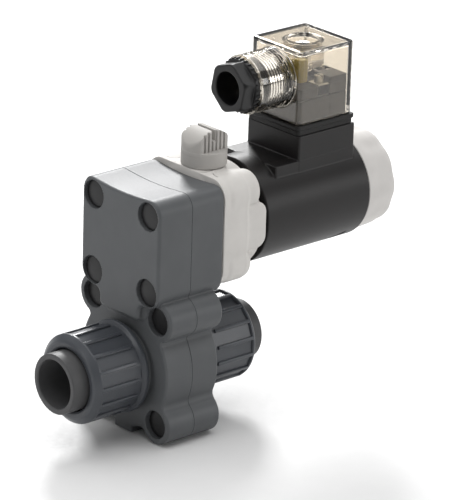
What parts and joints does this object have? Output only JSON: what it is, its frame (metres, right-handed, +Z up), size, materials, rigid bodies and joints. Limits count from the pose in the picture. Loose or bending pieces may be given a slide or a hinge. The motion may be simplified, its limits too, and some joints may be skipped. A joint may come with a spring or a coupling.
{
  "type": "solenoid valve",
  "caption": "Two-way plastic solenoid valve: union ends on a split body, with a horizontal coil, manual override knob and square cable plug above.",
  "frame": {"origin": "centre of the inlet socket's mouth, on the pipe axis", "axes": "+X along the flow, from the inlet to the outlet; +Z up, towards the coil and its plug; Y across"},
  "size_m": [0.1632, 0.0558, 0.1469],
  "materials": {
    "grey_pvc": "satin",
    "black_rubber": "matte",
    "cover_plastic": "matte",
    "stainless_steel": "satin",
    "brass": "satin",
    "pipe_pvc": "satin",
    "nut_pvc": "semi-gloss",
    "natural_nylon": "satin",
    "light_grey_nylon": "satin",
    "knob_nylon": "satin",
    "magnetic_steel": "satin",
    "copper": "satin",
    "coil_resin": "satin",
    "tinned_brass": "satin",
    "gasket_rubber": "matte",
    "clear_plastic": "clear gloss",
    "terminal_nylon": "matte",
    "indicator_plastic": "gloss",
    "gland_nylon": "semi-gloss"
  },
  "bodies": {
    "valve": {"body_front": "grey_pvc", "body_rear": "grey_pvc", "body_seal": "black_rubber", "bolt_covers": "cover_plastic", "block_bolts": "stainless_steel", "ear_bolts": "stainless_steel", "ear_inserts": "brass", "bonnet_inserts": "brass", "inlet_o_ring": "black_rubber", "outlet_o_ring": "black_rubber", "diaphragm": "black_rubber", "guide_bush": "natural_nylon", "bonnet": "light_grey_nylon", "core_tube": "stainless_steel", "fixed_core": "magnetic_steel", "shading_ring": "copper", "return_spring": "stainless_steel", "coil_housing": "coil_resin", "coil_yoke": "magnetic_steel", "coil_bobbin": "natural_nylon", "coil_winding": "copper", "coil_blades": "tinned_brass", "cap_washer": "black_rubber"},
    "plunger": {"plunger": "magnetic_steel", "seat_seal": "black_rubber"},
    "override": {"override_knob": "knob_nylon", "override_stem": "brass", "override_o_ring": "black_rubber"},
    "inlet_end": {"inlet_connector": "pipe_pvc"},
    "inlet_nut": {"inlet_union_nut": "nut_pvc"},
    "outlet_end": {"outlet_connector": "pipe_pvc"},
    "outlet_nut": {"outlet_union_nut": "nut_pvc"},
    "cap": {"retaining_cap": "light_grey_nylon"},
    "plug": {"plug_housing": "clear_plastic", "terminal_block": "terminal_nylon", "terminal_clamps": "tinned_brass", "indicator_board": "indicator_plastic", "plug_gasket": "gasket_rubber", "gland_seal": "black_rubber", "gland_washer": "tinned_brass"},
    "fixing_screw": {"fixing_screw": "stainless_steel"},
    "gland": {"gland_nut": "gland_nylon"}
  },
  "joints": [
    {"name": "plunger_lift", "type": "slide", "parent": "valve", "child": "plunger", "axis": [1, 0, 0], "range_m": [0, 0.003], "stiffness_N_per_m": 400, "springref_m": -0.002, "deforming": ["return_spring", "diaphragm"]},
    {"name": "override_turn", "type": "hinge", "parent": "valve", "child": "override", "pos_m": [0.0755, 0, 0.0763], "axis": [0, 0, 1], "range_deg": [0, 90]},
    {"name": "inlet_nut_turn", "type": "hinge", "parent": "inlet_end", "child": "inlet_nut", "pos_m": [0.0225, 0, 0], "axis": [-1, 0, 0], "range_deg": [0, 1440]},
    {"name": "inlet_end_out", "type": "slide", "parent": "valve", "child": "inlet_end", "axis": [-1, 0, 0], "range_m": [0, 0.0093]},
    {"name": "outlet_nut_turn", "type": "hinge", "parent": "outlet_end", "child": "outlet_nut", "pos_m": [0.0765, 0, 0], "axis": [1, 0, 0], "range_deg": [0, 1440]},
    {"name": "outlet_end_out", "type": "slide", "parent": "valve", "child": "outlet_end", "axis": [1, 0, 0], "range_m": [0, 0.0093]},
    {"name": "cap_turn", "type": "hinge", "parent": "valve", "child": "cap", "pos_m": [0.1545, 0, 0.053], "axis": [1, 0, 0], "range_deg": [0, 360]},
    {"name": "plug_pull", "type": "slide", "parent": "valve", "child": "plug", "axis": [0, 0, 1], "range_m": [0, 0.016]},
    {"name": "screw_turn", "type": "hinge", "parent": "plug", "child": "fixing_screw", "pos_m": [0.127, 0, 0.1], "axis": [0, 0, 1], "range_deg": [0, 360]},
    {"name": "gland_turn", "type": "hinge", "parent": "plug", "child": "gland", "pos_m": [0.092, 0, 0.105], "axis": [-1, 0, 0], "range_deg": [0, 360]}
  ],
  "couplings": [
    {"joint": "inlet_end_out", "follows": "inlet_nut_turn", "m_per_rad": 0.00036749},
    {"joint": "outlet_end_out", "follows": "outlet_nut_turn", "m_per_rad": 0.00036749}
  ]
}
